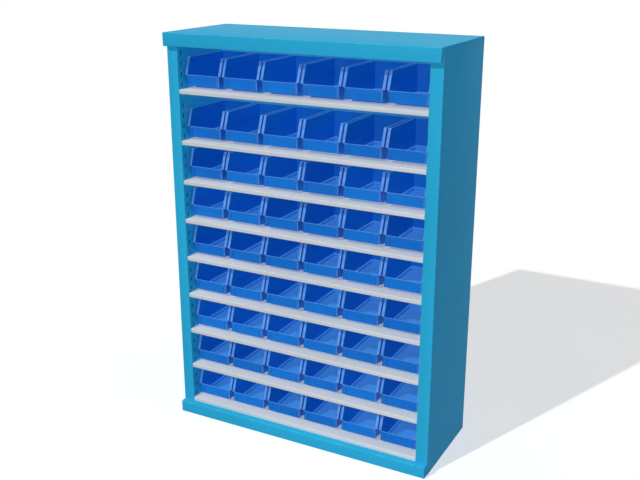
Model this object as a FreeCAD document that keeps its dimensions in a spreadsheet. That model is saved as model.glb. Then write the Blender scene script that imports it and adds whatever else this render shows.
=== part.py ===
import FreeCAD, Part
import os
import re
import Sketcher

# Open steel cabinet for small parts: shelves hung on clips between slotted sides, each with a row of plastic bins.
# The carcass is worked out from the bins, so its outside sizes follow from the values below.
# X runs along the front, +Y to the back and +Z up. The origin is the middle of the footprint, on the floor.

doc = FreeCAD.newDocument("tray_storage_cabinet")
sizes = doc.addObject("Spreadsheet::Sheet", "Sizes")

# Driving dimensions, in millimetres, and the counts.
driving = {
    # Counts
    "bin_columns": 6,
    "shelf_rows": 9,
    "top_extra_slots": 1,      # the top shelf is hooked this many slots higher than the others
    # Bin
    "bin_width": 102,          # over the rims
    "bin_depth": 165,
    "bin_height": 75,
    "bin_wall": 1.8,
    "bin_floor": 2,
    "bin_front": 34,           # top of the low front above the shelf
    "front_rake": 15,          # how far the raked edges lean back
    "rim_reach": 4.8,          # how far the rim stands out from the walls
    "rim_thickness": 3,
    "foot_height": 8,
    "foot_front_inset": 30,
    "foot_side_inset": 4,
    "foot_rear_inset": 6,
    "label_margin": 8.7,       # from the ends of the front to the label card
    "guide_stem": 1.2,         # the two guides hold the card's edges
    "guide_stand": 1.4,
    "guide_lip": 2.4,
    "guide_skin": 0.8,
    "guide_margin": 2.5,
    # Room round the bins
    "bin_gap": 4,
    "bin_setback": 20.5,
    "bin_rear_space": 54.8,
    "hand_gap": 10,            # least free height over a bin
    # Shelf
    "shelf_lip": 10.5,
    "shelf_sheet": 1,
    "shelf_hem": 8,
    # Carcass
    "side_sheet": 1.2,
    "post_width": 30,
    "slot_pitch": 25,
    "slot_width": 3,
    "slot_height": 10,
    "slot_drop": 5,            # middle of a slot below the shelf edge that its clip carries
    "slot_inset": 13,
    "rear_slot_inset": 45,
    "lip_reach": 16,           # how far the top's lip and the plinth stand in front of the posts
    "lip_height": 32,
    "cap_inset": 0.8,          # the top and the plinth end this far inside the sides
    "top_flange": 20,
    "base_height": 30,
    "base_flange": 25,
    "back_flange": 12,
    # Shelf clip
    "clip_reach": 9,
    "clip_tip": 3,
    "hook_depth": 2,
    "hook_neck": 7,
    "hook_drop": 5,
    # Clearances
    "play": 0.5,               # between pieces that slip in beside each other
    "hook_play": 0.3,          # round a clip's hook
    "overrun": 1,              # how far a cut runs past the face it opens
}

# Sizes that follow from the driving dimensions.
derived = {
    "body_width": "bin_width - 2 * rim_reach",
    "body_depth": "bin_depth - rim_reach",
    "body_floor": "foot_height + bin_floor",
    "rake_rise": "bin_height - bin_front",
    "rim_shift": "rim_thickness * sqrt(front_rake ^ 2 + rake_rise ^ 2) / rake_rise",
    "rim_corner": "rim_shift + front_rake * (rake_rise - rim_thickness) / rake_rise",
    "label_half_width": "body_width / 2 - label_margin",
    "foot_half_width": "body_width / 2 - foot_side_inset",
    "foot_rear": "body_depth - foot_rear_inset",
    "clear_width": "bin_columns * bin_width + (bin_columns + 1) * bin_gap",
    "cabinet_width": "clear_width + 2 * post_width",
    "cap_half_width": "cabinet_width / 2 - cap_inset",
    "pan_half_width": "clear_width / 2 - play",
    "shelf_depth": "bin_setback + bin_depth + bin_rear_space",
    "pan_depth": "shelf_depth + play + back_flange",
    "side_depth": "pan_depth + side_sheet",
    "cabinet_depth": "lip_reach + side_depth",
    "post_front": "lip_reach - cabinet_depth / 2",
    "step_slots": "ceil((shelf_lip + bin_height + hand_gap) / slot_pitch)",
    "top_shelf_slots": "(shelf_rows - 1) * step_slots + top_extra_slots",
    "head_slots": "ceil((base_height + shelf_lip + bin_height + hand_gap + lip_height) / slot_pitch)",
    "cabinet_height": "(top_shelf_slots + head_slots) * slot_pitch",
    "side_height": "cabinet_height - side_sheet",
    "first_slot": "base_height + slot_pitch - slot_drop",
    "slot_count": "floor((cabinet_height - lip_height - base_height) / slot_pitch)",
    "slot_sill": "slot_drop + slot_height / 2",
    "hook_gap": "side_sheet + hook_play",
}

for row, (name, size) in enumerate(driving.items(), start=1):
    sizes.set(f"A{row}", name)
    sizes.set(f"B{row}", str(size))
    sizes.setAlias(f"B{row}", name)
doc.recompute()


def formula(text):
    # Writes a size in terms of the sheet's cells.
    def resolve(match):
        word = match.group(0)
        if word in derived:
            return f"({formula(derived[word])})"
        return f"Sizes.{word}" if word in driving else word

    return re.sub(r"[a-z_]+", resolve, text)


def value(text):
    return float(sizes.evalExpression(formula(text)))


def bind(item, name, text):
    item.setExpression(name, formula(text))


def new_body(name):
    return doc.addObject("PartDesign::Body", name)


def origin_feature(body, role):
    return next(item for item in body.Origin.OriginFeatures if item.Role == role)


def new_sketch(body, plane, name, offset="0"):
    sketch = body.newObject("Sketcher::SketchObject", name)
    sketch.AttachmentSupport = [(origin_feature(body, plane), "")]
    sketch.MapMode = "FlatFace"
    bind(sketch, "AttachmentOffset.Base.z", offset)
    return sketch


def hold(sketch, line, kind, text):
    # Ties the start of a line to its distance from the sketch's origin.
    size = value(text)
    if size < 0:
        constraint = Sketcher.Constraint(kind, line, 1, -1, 1, -size)
        text = f"-({text})"
    else:
        constraint = Sketcher.Constraint(kind, -1, 1, line, 1, size)
    index = sketch.addConstraint(constraint)
    bind(sketch, f"Constraints[{index}]", text)


def outline(sketch, corners):
    points = [FreeCAD.Vector(value(across), value(up), 0) for across, up in corners]
    lines = []
    for start, end in zip(points, points[1:] + points[:1]):
        lines.append(sketch.addGeometry(Part.LineSegment(start, end)))
    for line, following, (across, up) in zip(lines, lines[1:] + lines[:1], corners):
        sketch.addConstraint(Sketcher.Constraint("Coincident", line, 2, following, 1))
        hold(sketch, line, "DistanceX", across)
        hold(sketch, line, "DistanceY", up)


def rectangle(sketch, left, right, low, high):
    outline(sketch, [(left, low), (right, low), (right, high), (left, high)])


def extrude(body, kind, sketch, length, symmetric=False, reverse=False):
    feature = body.newObject(f"PartDesign::{kind}", f"{sketch.Name}_{kind.lower()}")
    feature.Profile = sketch
    feature.SideType = "Symmetric" if symmetric else "One side"
    feature.Reversed = reverse
    bind(feature, "Length", length)
    return feature


def copy_of(pieces, label, x="0", y="0", z="0", turn=0):
    copy = doc.addObject("Part::Compound", label)
    copy.Label = label
    copy.Links = pieces
    copy.Placement.Rotation = FreeCAD.Rotation(FreeCAD.Vector(0, 0, 1), turn)
    for axis, text in zip("xyz", (x, y, z)):
        bind(copy, f"Placement.Base.{axis}", text)
    return copy


def shelf_level(row):
    # Lower edge of a shelf, counted from the lowest, which stands on the base.
    is_top = row == int(value("shelf_rows")) - 1
    slots_up = "top_shelf_slots" if is_top else f"{row} * step_slots"
    return f"base_height + {slots_up} * slot_pitch"


def bin_body():
    # Stacking bin, its front at y = 0 and its foot at z = 0.
    body = new_body("bin")
    side = new_sketch(body, "YZ_Plane", "bin_side")
    outline(side, [
        ("0", "foot_height"),
        ("0", "bin_front"),
        ("front_rake", "bin_height"),
        ("body_depth", "bin_height"),
        ("body_depth", "foot_height"),
    ])
    extrude(body, "Pad", side, "body_width", symmetric=True)

    # The rim runs up the raked edges, along the walls and round the back.
    rim = new_sketch(body, "YZ_Plane", "bin_rim")
    outline(rim, [
        ("0", "bin_front"),
        ("front_rake", "bin_height"),
        ("bin_depth", "bin_height"),
        ("bin_depth", "bin_height - rim_thickness"),
        ("rim_corner", "bin_height - rim_thickness"),
        ("rim_shift", "bin_front"),
    ])
    extrude(body, "Pad", rim, "bin_width", symmetric=True)

    foot = new_sketch(body, "XY_Plane", "bin_foot")
    rectangle(foot, "-foot_half_width", "foot_half_width", "foot_front_inset", "foot_rear")
    extrude(body, "Pad", foot, "foot_height")

    # The inside opens at the top and over the low front.
    inside = new_sketch(body, "YZ_Plane", "bin_inside")
    outline(inside, [
        ("bin_wall", "body_floor"),
        ("bin_wall", "bin_front"),
        ("-overrun", "bin_front"),
        ("-overrun", "bin_height + overrun"),
        ("body_depth - bin_wall", "bin_height + overrun"),
        ("body_depth - bin_wall", "body_floor"),
    ])
    extrude(body, "Pocket", inside, "body_width - 2 * bin_wall", symmetric=True)

    # The floor drops into the foot behind the front ledge.
    well = new_sketch(body, "XY_Plane", "bin_well", "body_floor")
    rectangle(
        well,
        "bin_wall - foot_half_width",
        "foot_half_width - bin_wall",
        "foot_front_inset + bin_wall",
        "foot_rear - bin_wall",
    )
    extrude(body, "Pocket", well, "foot_height")

    # Two facing hooks hold the edges of a label card.
    guides = new_sketch(body, "XY_Plane", "label_guides", "foot_height + guide_margin")
    guide_front = "-guide_stand - guide_skin"
    for hand in ("-1", "1"):
        outline(guides, [
            (f"{hand} * (label_half_width + guide_stem)", "0"),
            (f"{hand} * (label_half_width + guide_stem)", guide_front),
            (f"{hand} * (label_half_width - guide_lip)", guide_front),
            (f"{hand} * (label_half_width - guide_lip)", "-guide_stand"),
            (f"{hand} * label_half_width", "-guide_stand"),
            (f"{hand} * label_half_width", "0"),
        ])
    extrude(body, "Pad", guides, "bin_front - foot_height - 2 * guide_margin")
    return body


def shelf_body():
    # Folded steel tray, open below, its front edge at y = 0 and its lower edge at z = 0.
    body = new_body("shelf")
    tray = new_sketch(body, "XY_Plane", "shelf_tray")
    rectangle(tray, "-pan_half_width", "pan_half_width", "0", "shelf_depth")
    extrude(body, "Pad", tray, "shelf_lip")

    under = new_sketch(body, "XY_Plane", "shelf_under")
    rectangle(
        under,
        "shelf_sheet - pan_half_width",
        "pan_half_width - shelf_sheet",
        "shelf_sheet",
        "shelf_depth - shelf_sheet",
    )
    extrude(body, "Pocket", under, "shelf_lip - shelf_sheet", reverse=True)

    hem = new_sketch(body, "XY_Plane", "shelf_front_hem")
    rectangle(hem, "-pan_half_width", "pan_half_width", "0", "shelf_hem")
    extrude(body, "Pad", hem, "shelf_sheet")
    return body


def clip_body():
    # Blade that hooks through a slot in a wall at x = 0 and carries the shelf's edge at z = 0.
    body = new_body("clip")
    blade = new_sketch(body, "XZ_Plane", "clip_blade")
    outline(blade, [
        ("0", "0"),
        ("clip_reach", "0"),
        ("clip_reach", "-clip_tip"),
        ("0", "-slot_sill"),
        ("-hook_gap", "-slot_sill"),
        ("-hook_gap", "-slot_sill - hook_drop"),
        ("-hook_gap - hook_depth", "-slot_sill - hook_drop"),
        ("-hook_gap - hook_depth", "hook_neck - slot_sill"),
        ("0", "hook_neck - slot_sill"),
    ])
    extrude(body, "Pad", blade, "slot_width - 2 * hook_play", symmetric=True)
    return body


def side_body():
    # Left side: a folded double skin whose front is the post, with its inner face at x = 0.
    body = new_body("side")
    section = new_sketch(body, "XY_Plane", "side_section")
    rectangle(section, "-post_width", "0", "0", "side_depth")
    rectangle(section, "side_sheet - post_width", "-side_sheet", "side_sheet", "side_depth - side_sheet")
    extrude(body, "Pad", section, "side_height")

    slots = new_sketch(body, "YZ_Plane", "side_slots")
    for middle in ("slot_inset", "side_depth - rear_slot_inset"):
        rectangle(
            slots,
            f"{middle} - slot_width / 2",
            f"{middle} + slot_width / 2",
            "first_slot - slot_height / 2",
            "first_slot + slot_height / 2",
        )
    first_slots = extrude(body, "Pocket", slots, "side_sheet + overrun")
    doc.recompute()

    columns = body.newObject("PartDesign::LinearPattern", "slot_columns")
    columns.Originals = [first_slots]
    columns.Direction = (origin_feature(body, "Z_Axis"), [""])
    columns.Mode = "Spacing"
    bind(columns, "Offset", "slot_pitch")
    bind(columns, "Occurrences", "slot_count")
    body.Tip = columns
    return body


def top_body():
    # Top sheet at z = 0 with a boxed lip in front of the posts and flanges between the sides.
    body = new_body("top")
    sheet = new_sketch(body, "XY_Plane", "top_sheet")
    rectangle(sheet, "-cap_half_width", "cap_half_width", "-lip_reach", "side_depth")
    extrude(body, "Pad", sheet, "side_sheet", reverse=True)

    lip = new_sketch(body, "XY_Plane", "top_lip")
    rectangle(lip, "-cap_half_width", "cap_half_width", "-lip_reach", "0")
    extrude(body, "Pad", lip, "lip_height", reverse=True)

    hollow = new_sketch(body, "XZ_Plane", "lip_hollow")
    rectangle(
        hollow,
        "side_sheet - cap_half_width",
        "cap_half_width - side_sheet",
        "side_sheet - lip_height",
        "-side_sheet",
    )
    extrude(body, "Pocket", hollow, "lip_reach - side_sheet", reverse=True)

    flanges = new_sketch(body, "XY_Plane", "top_flanges")
    rectangle(flanges, "-pan_half_width", "pan_half_width", "0", "pan_depth")
    rectangle(
        flanges,
        "side_sheet - pan_half_width",
        "pan_half_width - side_sheet",
        "side_sheet",
        "pan_depth - side_sheet",
    )
    extrude(body, "Pad", flanges, "top_flange", reverse=True)
    return body


def base_body():
    # Base between the sides, with the plinth in front of the posts and flanges turned in along the floor.
    body = new_body("base")
    plinth = new_sketch(body, "XY_Plane", "base_plinth")
    rectangle(plinth, "-cap_half_width", "cap_half_width", "-lip_reach", "0")
    extrude(body, "Pad", plinth, "base_height")

    pan = new_sketch(body, "XY_Plane", "base_pan")
    rectangle(pan, "-pan_half_width", "pan_half_width", "0", "pan_depth")
    extrude(body, "Pad", pan, "base_height")

    under = new_sketch(body, "XY_Plane", "base_under")
    outline(under, [
        ("side_sheet - cap_half_width", "side_sheet - lip_reach"),
        ("cap_half_width - side_sheet", "side_sheet - lip_reach"),
        ("cap_half_width - side_sheet", "0"),
        ("pan_half_width - side_sheet", "0"),
        ("pan_half_width - side_sheet", "pan_depth - side_sheet"),
        ("side_sheet - pan_half_width", "pan_depth - side_sheet"),
        ("side_sheet - pan_half_width", "0"),
        ("side_sheet - cap_half_width", "0"),
    ])
    extrude(body, "Pocket", under, "base_height - side_sheet", reverse=True)

    flanges = new_sketch(body, "XY_Plane", "base_flanges")
    rectangle(flanges, "-pan_half_width", "pan_half_width", "-lip_reach", "pan_depth")
    rectangle(
        flanges,
        "base_flange - pan_half_width",
        "pan_half_width - base_flange",
        "base_flange - lip_reach",
        "pan_depth - base_flange",
    )
    extrude(body, "Pad", flanges, "side_sheet")
    return body


def back_body():
    # Back sheet between the sides, its rear face at y = 0, with a flange along each side.
    body = new_body("back")
    sheet = new_sketch(body, "XZ_Plane", "back_sheet")
    rectangle(sheet, "-pan_half_width", "pan_half_width", "0", "side_height")
    extrude(body, "Pad", sheet, "side_sheet")

    flanges = new_sketch(body, "XY_Plane", "back_flanges", "base_height + play")
    for hand in ("-1", "1"):
        rectangle(
            flanges,
            f"{hand} * (pan_half_width - side_sheet)",
            f"{hand} * pan_half_width",
            "-back_flange - side_sheet",
            "-side_sheet",
        )
    extrude(body, "Pad", flanges, "side_height - base_height - top_flange - 2 * play")
    return body


def side_node():
    left = side_body()
    right = doc.addObject("Part::Mirroring", "side_mirrored")
    right.Source = left
    right.Normal = FreeCAD.Vector(1, 0, 0)
    pair = [
        copy_of([left], "side_left", x="-clear_width / 2"),
        copy_of([right], "side_right", x="clear_width / 2"),
    ]
    return copy_of(pair, "side_panels", y="post_front")


def shelf_node():
    shelf = shelf_body()
    rows = range(int(value("shelf_rows")))
    shelves = [copy_of([shelf], f"shelf_{row + 1}", z=shelf_level(row)) for row in rows]
    return copy_of(shelves, "shelves", y="post_front")


def clip_node():
    clip = clip_body()
    clips = []
    for row in range(1, int(value("shelf_rows"))):
        for end, side, turn in (("left", "-1", 0), ("right", "1", 180)):
            for place, inset in (("front", "slot_inset"), ("rear", "side_depth - rear_slot_inset")):
                clips.append(copy_of(
                    [clip],
                    f"clip_{row + 1}_{end}_{place}",
                    x=f"{side} * clear_width / 2",
                    y=inset,
                    z=shelf_level(row),
                    turn=turn,
                ))
    return copy_of(clips, "shelf_clips", y="post_front")


def bin_nodes():
    tray = bin_body()
    rows = int(value("shelf_rows"))
    nodes = []
    for row in range(rows):
        for column in range(int(value("bin_columns"))):
            # Rows are numbered from the top and columns from the left, as they are read from the front.
            nodes.append(copy_of(
                [tray],
                f"bin_row{rows - row}_col{column + 1}",
                x=f"bin_gap - clear_width / 2 + bin_width / 2 + {column} * (bin_width + bin_gap)",
                y="post_front + bin_setback",
                z=f"{shelf_level(row)} + shelf_lip",
            ))
    return nodes


nodes = [
    side_node(),
    copy_of([top_body()], "top_panel", y="post_front", z="cabinet_height"),
    copy_of([base_body()], "base_panel", y="post_front"),
    copy_of([back_body()], "back_panel", y="cabinet_depth / 2"),
    shelf_node(),
    clip_node(),
] + bin_nodes()
doc.recompute()

for item in doc.Objects:
    if {"Invalid", "Error"} & set(item.State):
        raise RuntimeError(f"{item.Name} failed: {item.State}")
    if item.TypeId == "PartDesign::Pocket" and item.Shape.Volume >= item.BaseFeature.Shape.Volume:
        raise RuntimeError(f"{item.Name} cuts nothing")
for node in nodes:
    if node.Shape.isNull() or not node.Shape.isValid() or not node.Shape.Solids:
        raise RuntimeError(f"{node.Label} has no valid solid")

os.makedirs("parts", exist_ok=True)
for node in nodes:
    node.Shape.exportStep(f"parts/{node.Label}.step")
print(f"{len(nodes)} nodes, {value('cabinet_width')} x {value('cabinet_depth')} x {value('cabinet_height')} mm")
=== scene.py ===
import math
import random

import bmesh
import bpy
from mathutils import Matrix, Vector


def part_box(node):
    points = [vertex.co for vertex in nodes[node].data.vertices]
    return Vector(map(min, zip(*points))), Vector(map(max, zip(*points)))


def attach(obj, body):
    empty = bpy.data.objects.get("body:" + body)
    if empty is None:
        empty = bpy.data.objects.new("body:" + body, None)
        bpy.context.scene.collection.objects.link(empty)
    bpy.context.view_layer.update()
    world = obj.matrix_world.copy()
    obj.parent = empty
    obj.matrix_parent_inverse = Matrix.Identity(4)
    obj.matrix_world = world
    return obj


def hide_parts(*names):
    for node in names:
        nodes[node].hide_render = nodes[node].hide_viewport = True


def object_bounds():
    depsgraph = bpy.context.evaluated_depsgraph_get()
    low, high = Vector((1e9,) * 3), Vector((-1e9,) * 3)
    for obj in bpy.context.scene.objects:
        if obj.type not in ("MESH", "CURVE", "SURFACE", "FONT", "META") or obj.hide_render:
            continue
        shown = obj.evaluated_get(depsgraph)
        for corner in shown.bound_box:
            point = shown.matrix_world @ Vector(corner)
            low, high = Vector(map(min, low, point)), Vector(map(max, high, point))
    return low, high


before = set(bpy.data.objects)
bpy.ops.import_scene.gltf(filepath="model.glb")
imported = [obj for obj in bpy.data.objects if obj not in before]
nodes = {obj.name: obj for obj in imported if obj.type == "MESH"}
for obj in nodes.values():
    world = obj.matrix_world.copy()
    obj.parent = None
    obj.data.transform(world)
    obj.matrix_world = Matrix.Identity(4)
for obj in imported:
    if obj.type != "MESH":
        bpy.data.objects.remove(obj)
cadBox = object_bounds()
scene = bpy.context.scene
scene.view_settings.view_transform = "Standard"
mm = 0.001
near = 0.1 * mm    # heights and depths closer than this count as the same
white = (1.0, 1.0, 1.0)
print("frame loaded:", len(nodes), "nodes")


def srgb(red, green, blue):
    # screen values 0 to 255, as the linear colour that the shaders take
    parts = [c / 255 for c in (red, green, blue)]
    linear = [c / 12.92 if c <= 0.04045 else ((c + 0.055) / 1.055) ** 2.4 for c in parts]
    return (*linear, 1.0)


class Wire:
    # a socket that takes part in sums like a number
    def __init__(self, socket):
        self.socket = socket

    def node(self, kind, settings=None, sockets=None, output=0):
        # settings go in first, because some of them change the sockets
        tree = self.socket.id_data
        made = tree.nodes.new("ShaderNode" + kind)
        for name, value in (settings or {}).items():
            setattr(made, name, value)
        for name, value in (sockets or {}).items():
            if isinstance(value, Wire):
                tree.links.new(value.socket, made.inputs[name])
            else:
                made.inputs[name].default_value = value
        return Wire(made.outputs[output]) if made.outputs else made

    def sum(self, operation, first, second):
        return self.node("Math", {"operation": operation}, {0: first, 1: second})

    def __add__(self, other):
        return self.sum("ADD", self, other)

    def __radd__(self, other):
        return self.sum("ADD", other, self)

    def __sub__(self, other):
        return self.sum("SUBTRACT", self, other)

    def __rsub__(self, other):
        return self.sum("SUBTRACT", other, self)

    def __mul__(self, other):
        return self.sum("MULTIPLY", self, other)

    def __rmul__(self, other):
        return self.sum("MULTIPLY", other, self)


def newFinish(name):
    material = bpy.data.materials.new(name)
    material.use_nodes = True
    material.node_tree.nodes.clear()
    place = Wire(material.node_tree.nodes.new("ShaderNodeTexCoord").outputs["Object"])
    return material, place


def noise(place, scale, detail, roughness=0.5):
    sockets = {"Vector": place, "Scale": scale, "Detail": detail, "Roughness": roughness}
    return place.node("TexNoise", {}, sockets, "Fac")


def stretched(place, scale):
    return place.node("Mapping", {}, {"Vector": place, "Scale": scale})


def between(value, low, high):
    # 0 below low, 1 above high, smooth in between
    sockets = {"Value": value, 1: low, 2: high}
    return value.node("MapRange", {"interpolation_type": "SMOOTHSTEP"}, sockets)


def blend(factor, first, second):
    return factor.node("Mix", {"data_type": "RGBA"}, {0: factor, 6: first, 7: second}, 2)


def marked(place, name):
    # reads what markMesh wrote
    return place.node("Attribute", {"attribute_name": name}, {}, "Fac")


def bump(height, strength, depth):
    return height.node("Bump", {}, {"Strength": strength, "Distance": depth, "Height": height})


coating = {
    "cloudRange": (0.3, 0.7),      # ranges are of the noise, from none to full
    "cloudShare": 0.7,             # of the tone, and the mottle has the rest
    "rubRange": (0.46, 0.62),
    "streakRange": (0.55, 0.8),
    "speckRelief": 0.3,
    "bumpStrength": 0.6,
    "cloudRough": 0.05,            # what each adds to the roughness
    "speckRough": 0.06,
    "streakRough": 0.15,
    "rubSmooth": 0.08,             # what the rubbed edges take off it
    "ior": 1.48,
}
carcassLook = {
    "deep": srgb(34, 157, 199),
    "fresh": srgb(39, 166, 208),
    "speck": srgb(58, 178, 218),
    "scuff": srgb(33, 136, 180),
    "rubbed": srgb(126, 205, 232),
    "paintedShade": srgb(12, 22, 28),      # painted shade: dark matte inside the double skins and on the slots' cut walls, where shade falls
    "gloss": 0.5,
    "sheen": 0.06,
    "cloudScale": 2.6,
    "mottleScale": 38.0,
    "peelScale": 430.0,
    "peelDepth": 0.0003,
    "speckScale": 1500.0,
    "speckDepth": 0.24,
    "rubScale": 48.0,
    "rubDepth": 0.24,
    "streak": (60.0, 60.0, 3.0),   # faint runs down the uprights
    "streakDepth": 0.12,
}
shelfLook = {
    "deep": srgb(190, 195, 197),
    "fresh": srgb(199, 204, 206),
    "speck": srgb(220, 222, 223),
    "scuff": srgb(164, 166, 170),
    "rubbed": srgb(228, 229, 230),
    # painted shade for faces inside the double skins
    "paintedShade": srgb(120, 122, 124),
    "gloss": 0.5,
    "sheen": 0.3,
    "cloudScale": 3.4,
    "mottleScale": 44.0,
    "peelScale": 450.0,
    "peelDepth": 0.00025,
    "speckScale": 1700.0,
    "speckDepth": 0.2,
    "rubScale": 60.0,
    "rubDepth": 0.5,
    "streak": (130.0, 5.0, 5.0),   # bins rub the shelves front to back
    "streakDepth": 0.14,
}


def powderCoat(name, look):
    material, place = newFinish(name)
    drift = between(noise(place, look["cloudScale"], detail=3.0), *coating["cloudRange"])
    mottle = noise(place, look["mottleScale"], detail=3.0)
    cloud = drift * coating["cloudShare"] + mottle * (1 - coating["cloudShare"])
    peel = noise(place, look["peelScale"], detail=1.5)
    speck = noise(place, look["speckScale"], detail=1.0)
    patches = noise(place, look["rubScale"], detail=4.0, roughness=0.6)
    rub = marked(place, "edge") * between(patches, *coating["rubRange"])
    lines = noise(stretched(place, look["streak"]), 1.0, detail=4.0, roughness=0.6)
    streak = between(lines, *coating["streakRange"]) * look["streakDepth"]
    colour = blend(cloud, look["deep"], look["fresh"])
    colour = blend(speck * look["speckDepth"], colour, look["speck"])
    colour = blend(streak, colour, look["scuff"])
    colour = blend(rub * look["rubDepth"], colour, look["rubbed"])
    rough = look["gloss"] + cloud * coating["cloudRough"] + speck * coating["speckRough"]
    rough = rough + streak * coating["streakRough"] - rub * coating["rubSmooth"]
    relief = peel + speck * coating["speckRelief"]
    coat = place.node("BsdfPrincipled", {}, {
        "Base Color": colour,
        "Roughness": rough,
        "IOR": coating["ior"],
        "Specular IOR Level": look["sheen"],
        "Normal": bump(relief, coating["bumpStrength"], look["peelDepth"]),
    })
    # painted shade: a dark matte colour in place of the coat inside the double skins and on the
    # slots' cut walls
    shadeSurface = place.node("BsdfDiffuse", {}, {"Color": look["paintedShade"]})
    shown = place.node("MixShader", {}, {0: marked(place, "paintedShade"), 1: coat, 2: shadeSurface})
    place.node("OutputMaterial", {}, {"Surface": shown})
    return material


plasticLook = {
    "deep": srgb(4, 100, 190),
    "fresh": srgb(8, 111, 201),
    # painted highlight, partly wear: the lighter colour of the bins' rims, edges and raked wall ends
    "paleWearAndHighlight": srgb(156, 200, 252),
    "litScuffedFloor": srgb(66, 142, 214),     # floors: lighter as painted light from above, with scuffs where loose parts slide about
    "gloss": 0.34,
    "sheen": 0.16,
    "flow": (1.0, 0.35, 1.6),
    "flowScale": 22.0,
    "toneShare": 0.5,                  # of the bin's own tone, and the flow has the rest
    "toneRange": (0.25, 0.75),
    "grainScale": 1300.0,
    "grainDepth": 0.00014,
    "bumpStrength": 0.6,
    "handledScale": 70.0,
    "handledRange": (0.4, 0.7),
    "edgeDepth": 0.75,
    "edgePatches": 0.45,               # how much of the lighter edges, wear and painted highlight, comes and goes
    "scratch": (260.0, 70.0, 70.0),
    # how much lighter the floors are painted, as painted light from above
    "litFloorDepth": 0.6,
    "scratchDepth": 0.6,
    "flowRough": 0.08,                 # what each adds to the roughness
    "grainRough": 0.06,
    "handledRough": 0.05,
    "scuffRough": 0.12,
    "ior": 1.49,
}


def binPlastic(look):
    material, place = newFinish("binPlastic")
    flow = noise(stretched(place, look["flow"]), look["flowScale"], detail=4.0, roughness=0.55)
    grain = noise(place, look["grainScale"], detail=2.0)
    patches = noise(place, look["handledScale"], detail=4.0, roughness=0.6)
    handled = between(patches, *look["handledRange"])
    tone = flow * (1 - look["toneShare"]) + marked(place, "tone") * look["toneShare"]
    # lighter edges: partly wear from handling, partly a painted highlight
    edgePaint = marked(place, "edge") * (1 - look["edgePatches"] + handled * look["edgePatches"])
    scratch = noise(stretched(place, look["scratch"]), 1.0, detail=5.0, roughness=0.7)
    # painted light on the floors, with scratches where loose parts slide about
    scuff = marked(place, "scuff") * (look["litFloorDepth"] + scratch * look["scratchDepth"])
    colour = blend(between(tone, *look["toneRange"]), look["deep"], look["fresh"])
    colour = blend(edgePaint * look["edgeDepth"], colour, look["paleWearAndHighlight"])
    colour = blend(scuff, colour, look["litScuffedFloor"])
    rough = look["gloss"] + flow * look["flowRough"] + grain * look["grainRough"]
    rough = rough + handled * look["handledRough"] + scuff * look["scuffRough"]
    shown = place.node("BsdfPrincipled", {}, {
        "Base Color": colour,
        "Roughness": rough,
        "IOR": look["ior"],
        "Specular IOR Level": look["sheen"],
        "Normal": bump(grain, look["bumpStrength"], look["grainDepth"]),
    })
    place.node("OutputMaterial", {}, {"Surface": shown})
    return material


finishes = {
    "carcass": powderCoat("carcassPaint", carcassLook),
    "shelf": powderCoat("shelfPaint", shelfLook),
    "plastic": binPlastic(plasticLook),
}
print("finishes made:", len(finishes))

rounding = {
    "weld": 0.001 * mm,
    "flat": math.radians(1),     # faces that meet at less are one face
    "along": 0.95,               # least share of an edge's length along the axis that it runs on
    # share of the lighter edge colour on a bevel's flanks
    "flankShare": 0.45,
}


def solidCopy(nodeName):
    # the node's solids as one mesh with whole flat faces
    bm = bmesh.new()
    bm.from_mesh(nodes[nodeName].data)
    bmesh.ops.remove_doubles(bm, verts=bm.verts, dist=rounding["weld"])
    bmesh.ops.dissolve_limit(bm, angle_limit=rounding["flat"], verts=bm.verts, edges=bm.edges)
    return bm


def proudness(face):
    # 1 on the crest of a rounded outer edge, less on its flanks, 0 on flat faces and inside corners
    if face.material_index == 0:
        return 0.0
    here = face.calc_center_median()
    beside = [other for edge in face.edges for other in edge.link_faces if other != face]
    if sum(face.normal.dot(other.calc_center_median() - here) for other in beside) >= 0:
        return 0.0
    isFlank = any(other.material_index == 0 for other in beside)
    return rounding["flankShare"] if isFlank else 1.0


def markMesh(mesh, name, values, domain="FACE"):
    # a value for each face or point, which the finishes read by its name
    mesh.attributes.new(name, "FLOAT", domain).data.foreach_set("value", values)


def roundedMesh(bm, name, radiusOf, segments, edgePaintAt):
    # bevels each edge to its own radius, and marks the outer strips for the finish's lighter edges:
    # wear on the steel, wear and painted highlight on the bins
    radii = [max(0.0, radiusOf(edge)) for edge in bm.edges]
    widest = max(radii)
    weight = bm.edges.layers.float.new("bevel_weight_edge")
    for edge, radius in zip(bm.edges, radii):
        edge[weight] = radius / widest
    for face in bm.faces:
        face.smooth = True
    rough = bpy.data.meshes.new(name)
    bm.to_mesh(rough)
    bm.free()
    rough.materials.append(None)   # the flat faces
    rough.materials.append(None)   # the strips that the bevel makes
    former = bpy.data.objects.new(name + "Former", rough)
    scene.collection.objects.link(former)
    bevel = former.modifiers.new("edges", "BEVEL")
    bevel.limit_method = "WEIGHT"
    bevel.width = widest
    bevel.segments = segments
    bevel.profile = 0.5
    bevel.use_clamp_overlap = False
    bevel.harden_normals = True
    bevel.material = 1
    graph = bpy.context.evaluated_depsgraph_get()
    formed = former.evaluated_get(graph)
    mesh = bpy.data.meshes.new_from_object(formed, preserve_all_data_layers=True, depsgraph=graph)
    bpy.data.objects.remove(former)
    mesh.name = name
    shaped = bmesh.new()
    shaped.from_mesh(mesh)
    edgePaint = [proudness(face) * edgePaintAt(face.calc_center_median()) for face in shaped.faces]
    shaped.free()
    markMesh(mesh, "edge", edgePaint)
    mesh.polygons.foreach_set("material_index", [0] * len(mesh.polygons))
    mesh.materials.clear()
    return mesh


def addPiece(name, mesh, finish, body, slot, *stoodFor):
    mesh.materials.append(finish)
    piece = bpy.data.objects.new(name, mesh)
    scene.collection.objects.link(piece)
    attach(piece, body)
    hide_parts(*stoodFor)


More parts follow.
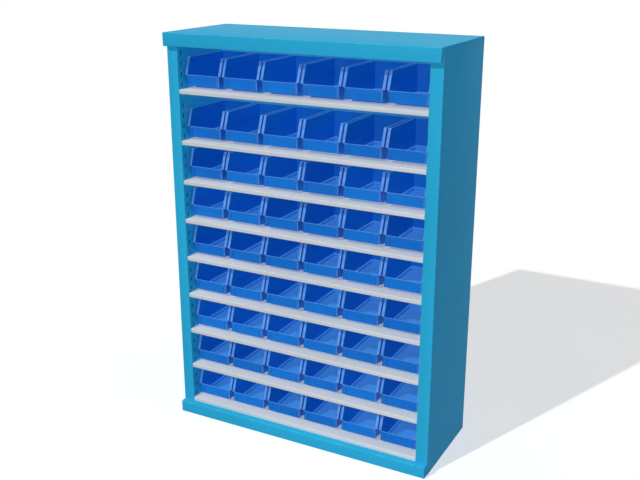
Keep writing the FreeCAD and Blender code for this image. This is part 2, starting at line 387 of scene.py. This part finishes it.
def runs(edge, axis):
    # true where the edge lies along that axis
    run = edge.verts[1].co - edge.verts[0].co
    return abs(run[axis]) > rounding["along"] * run.length


def middle(edge):
    return (edge.verts[0].co + edge.verts[1].co) / 2


def isFold(edge, least):
    return len(edge.link_faces) == 2 and edge.calc_face_angle() > least


steel = {
    "least": math.radians(20),   # flatter corners stay as they are
    "post": 1.4 * mm,            # rounded corners of the folded uprights
    "postLength": 100.0 * mm,    # upright edges of the slots are shorter
    "frontFold": 2.0 * mm,       # lip and plinth, along the front
    "frontReach": 1.0 * mm,
    "boxEnd": 0.8 * mm,          # closed ends of the lip and plinth
    "shelfFold": 1.2 * mm,
    "shelfCut": 0.24 * mm,
    "shelfTopArea": 0.01,        # square metres
    "level": 0.9,                # upward part of a shelf top's normal, at least
    "cutEdge": 0.3 * mm,         # deburred and coated cut edges
    "slotStart": 320.02 * mm,    # from the middle: just within the inner skin's face
    "hollowStart": 321.0 * mm,   # between the skins
    "hollowEnd": 348.9 * mm,
    "hollowFront": 17.05 * mm,   # from the cabinet's front and back
    "hollowRear": 1.05 * mm,
    "cutFacing": 0.5,            # sideways part of a slot wall's normal, at most
    "segments": 3,
}


def isBehindPost(at):
    return cadBox[0].y + steel["hollowFront"] < at.y < cadBox[1].y - steel["hollowRear"]


def isInside(polygon):
    # the hollow of a side's double skin and the cut walls of the slots that open into it, which get
    # painted shade
    out = abs(polygon.center.x)
    isWall = abs(polygon.normal.x) < steel["cutFacing"]
    isCut = isWall and steel["slotStart"] < out <= steel["hollowStart"]
    isHollow = steel["hollowStart"] < out < steel["hollowEnd"]
    return isBehindPost(polygon.center) and (isCut or isHollow)


def steelWear(at):
    # nothing rubs in the slots and the hollow behind them
    return 0.0 if isBehindPost(at) and steel["slotStart"] < abs(at.x) < steel["hollowEnd"] else 1.0


def addSteel(name, node, radiusOf, finish, slot):
    def outerRadius(edge):
        return radiusOf(edge) if isFold(edge, steel["least"]) and edge.is_convex else 0.0

    mesh = roundedMesh(solidCopy(node), name, outerRadius, steel["segments"], steelWear)
    # painted shade on the hollow and the slots' cut walls
    markMesh(mesh, "paintedShade", [float(isInside(polygon)) for polygon in mesh.polygons])
    addPiece(name, mesh, finishes[finish], "cabinet", slot, node)
    print("steel piece:", name, len(mesh.polygons), "faces")


frontLine = cadBox[0].y + steel["frontReach"]
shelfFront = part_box("shelves")[0].y + near
shelfTops = sorted({
    round(face.center.z, 5) for face in nodes["shelves"].data.polygons
    if face.normal.z > steel["level"] and face.area > steel["shelfTopArea"]
})
print("shelf tops:", shelfTops)


def cutRadius(edge):
    return steel["cutEdge"]


def postRadius(edge):
    isLong = edge.calc_length() > steel["postLength"]
    return steel["post"] if runs(edge, 2) and isLong else steel["cutEdge"]


def boxedRadius(edge):
    if middle(edge).y > frontLine:
        return steel["cutEdge"]
    return steel["frontFold"] if runs(edge, 0) else steel["boxEnd"]


def shelfRadius(edge):
    at = middle(edge)
    below = min(top - at.z for top in shelfTops if top > at.z - near)
    isHemFold = runs(edge, 0) and at.y < shelfFront
    return steel["shelfFold"] if below < near or runs(edge, 2) or isHemFold else steel["shelfCut"]


addSteel("sidePanels", "side_panels", postRadius, "carcass", "carcass_paint")
addSteel("topPanel", "top_panel", boxedRadius, "carcass", "carcass_paint")
addSteel("basePlinth", "base_panel", boxedRadius, "carcass", "carcass_paint")
addSteel("backPanel", "back_panel", cutRadius, "carcass", "carcass_paint")
addSteel("shelfTrays", "shelves", shelfRadius, "shelf", "shelf_paint")
addSteel("shelfClips", "shelf_clips", cutRadius, "carcass", "carcass_paint")

bins = {
    "rows": 9,
    "columns": 6,
    "least": math.radians(10),   # flatter corners stay as they are
    "guideProud": 2.2 * mm,      # label guides in front of the front wall
    "guideEdge": 0.2 * mm,
    "corner": 2.4 * mm,          # upright corners, outside and inside
    "insideCorner": 1.6 * mm,
    "cornerLength": 5.0 * mm,    # shorter upright edges are rounded like the rim
    "footEdge": 0.9 * mm,
    "footHeight": 1.0 * mm,
    "edge": 0.8 * mm,
    "ledge": 3.0 * mm,           # soft drop from the floor's edge into the foot
    "ledgeTop": 10.5 * mm,
    "frontWall": 3.0 * mm,
    "inner": 43.0 * mm,
    "middle": Vector((0.0, 82.5, 37.5)) * mm,
    "segments": 3,
    "handled": 36.0 * mm,        # above this the edges get the full lighter edge colour: rubbed, and a painted highlight
    "frontWearAndHighlight": 0.55,
    "rakeHighlight": 0.42,            # painted highlight on the raked ends of the walls
    "rakeForward": 0.9,          # forward and upward parts of their normals, at least
    "rakeUp": 0.3,
    "toneSeed": 11,
}


def isWithin(point):
    # inside the walls, where the floor drops into the foot
    return point.y > bins["frontWall"] and abs(point.x) < bins["inner"]


def binRadius(edge):
    # measured from the middle of the bin's front, at its foot
    if not isFold(edge, bins["least"]):
        return 0.0
    first, second = (v.co for v in edge.verts)
    top = max(first.z, second.z)
    if min(first.y, second.y) < -near:
        return bins["guideEdge"]
    if runs(edge, 2) and abs(second.z - first.z) > bins["cornerLength"]:
        return bins["corner"] if edge.is_convex else bins["insideCorner"]
    if top < bins["footHeight"]:
        return bins["footEdge"]
    if edge.is_convex and top < bins["ledgeTop"] and isWithin(first) and isWithin(second):
        return bins["ledge"]
    return bins["edge"]


def binWearAndHighlight(at):
    # the rim gets the most of the lighter edge colour, then the front's edges: wear from hands and
    # stacking, and a painted highlight
    if at.z > bins["handled"]:
        return 1.0
    return bins["frontWearAndHighlight"] if at.y < bins["frontWall"] else 0.0


def isRake(polygon):
    return polygon.normal.y < -bins["rakeForward"] and polygon.normal.z > bins["rakeUp"]


def isFloor(polygon):
    # what loose parts lie on: the low faces that look into the bin
    at = polygon.center
    return isWithin(at) and at.z < bins["ledgeTop"] and polygon.normal.dot(bins["middle"] - at) > 0


def addBins():
    # one mould, copied to each bin's place
    low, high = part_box("bin_row1_col1")
    origin = Vector(((low.x + high.x) / 2, low.y + bins["guideProud"], low.z))
    bm = solidCopy("bin_row1_col1")
    bmesh.ops.translate(bm, verts=bm.verts, vec=-origin)
    mould = roundedMesh(bm, "binMould", binRadius, bins["segments"], binWearAndHighlight)
    # painted highlight: the raked wall ends get at least this much of the lighter edge colour
    for polygon, edgeValue in zip(mould.polygons, mould.attributes["edge"].data):
        if isRake(polygon):
            edgeValue.value = max(edgeValue.value, bins["rakeHighlight"])
    # painted light: marks the floors to be painted lighter, as if lit from above
    markMesh(mould, "scuff", [float(isFloor(polygon)) for polygon in mould.polygons])
    draw = random.Random(bins["toneSeed"])
    for row in range(1, bins["rows"] + 1):
        for column in range(1, bins["columns"] + 1):
            node = f"bin_row{row}_col{column}"
            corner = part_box(node)[0]
            mesh = mould.copy()
            mesh.transform(Matrix.Translation(origin + corner - low))
            markMesh(mesh, "tone", [draw.random()] * len(mesh.vertices), "POINT")
            addPiece(f"bin_{row}_{column}", mesh, finishes["plastic"], node, "bin_plastic", node)
    print("bins:", bins["rows"] * bins["columns"], "of", len(mould.polygons), "faces")
    bpy.data.meshes.remove(mould)


addBins()

studio = {
    "lamps": {
        # where from, level, degrees across, tint, casts a shadow
        "key": ((-0.294, -0.745, 0.599), 1.5, 0.8, white, True),
        "fill": ((0.0, -0.96, 0.28), 1.0, 30.0, white, False),
        "overhead": ((0.0, -0.15, 0.98), 1.25, 20.0, white, False),
        "rear": ((0.0, 0.998, 0.05), 0.86, 12.0, white, False),
        "side": ((0.97, -0.23, 0.06), 0.78, 40.0, (0.36, 0.68, 1.0), False),
    },
    "skyLevel": 0.12,
    "skyShown": 1.0,                        # what the camera sees
    "floorHalf": 8.0,
    "floorDrop": 0.4 * mm,
    "floorTone": (1.0, 0.99, 0.985, 1.0),   # what the camera sees, with the lift added
    "floorLift": 0.09,
    "bounceTone": (0.25, 0.25, 0.25, 1.0),  # what lights the cabinet from below
}


def seenDirectly(wire):
    path = wire.node("LightPath", {}, {}, "Is Camera Ray")
    rays = path.socket.node.outputs
    seen = path.sum("MAXIMUM", path, Wire(rays["Is Glossy Ray"]))
    return path.sum("MAXIMUM", seen, Wire(rays["Is Transmission Ray"]))


def addFloor():
    bm = bmesh.new()
    bmesh.ops.create_grid(bm, x_segments=1, y_segments=1, size=studio["floorHalf"])
    bmesh.ops.translate(bm, verts=bm.verts, vec=(0, 0, -studio["floorDrop"]))
    mesh = bpy.data.meshes.new("studioFloor")
    bm.to_mesh(mesh)
    bm.free()
    material, place = newFinish("studioFloor")
    plain = place.node("BsdfDiffuse", {}, {"Color": studio["floorTone"]})
    lift = place.node("Emission", {}, {"Color": (*white, 1.0), "Strength": studio["floorLift"]})
    bounce = place.node("BsdfDiffuse", {}, {"Color": studio["bounceTone"]})
    shown = place.node("AddShader", {}, {0: plain, 1: lift})
    place.node("OutputMaterial", {}, {
        "Surface": place.node("MixShader", {}, {0: seenDirectly(place), 1: bounce, 2: shown}),
    })
    mesh.materials.append(material)
    floor = bpy.data.objects.new("studioFloor", mesh)
    scene.collection.objects.link(floor)


def addLamps():
    for role, (source, level, spread, tint, castsShadow) in studio["lamps"].items():
        lamp = bpy.data.lights.new(role + "Lamp", "SUN")
        lamp.energy = level
        lamp.color = tint
        lamp.angle = math.radians(spread)
        lamp.use_shadow = castsShadow
        holder = bpy.data.objects.new(role + "Lamp", lamp)
        holder.rotation_euler = (-Vector(source)).to_track_quat("-Z", "Y").to_euler()
        scene.collection.objects.link(holder)


def addSky():
    world = bpy.data.worlds.new("studioSky")
    world.use_nodes = True
    world.node_tree.nodes.clear()
    start = Wire(world.node_tree.nodes.new("ShaderNodeLightPath").outputs["Is Camera Ray"])
    sky = start.node("Background", {}, {"Color": (*white, 1.0), "Strength": studio["skyLevel"]})
    shown = start.node("Background", {}, {"Color": (*white, 1.0), "Strength": studio["skyShown"]})
    start.node("OutputWorld", {}, {
        "Surface": start.node("MixShader", {}, {0: seenDirectly(start), 1: sky, 2: shown}),
    })
    scene.world = world


photoCamera = {
    "place": (0.9936, -1.8672, 1.2005),
    "tilt": 71.671,
    "turn": 28.015,
    "lens": 50.518,
    "sensor": 36.0,
}


def addCamera():
    data = bpy.data.cameras.new("photoCamera")
    data.sensor_width = photoCamera["sensor"]
    data.lens = photoCamera["lens"]
    camera = bpy.data.objects.new("photoCamera", data)
    camera.location = photoCamera["place"]
    camera.rotation_euler = (math.radians(photoCamera["tilt"]), 0, math.radians(photoCamera["turn"]))
    scene.collection.objects.link(camera)
    scene.camera = camera


addFloor()
addLamps()
addSky()
addCamera()
print("studio set")
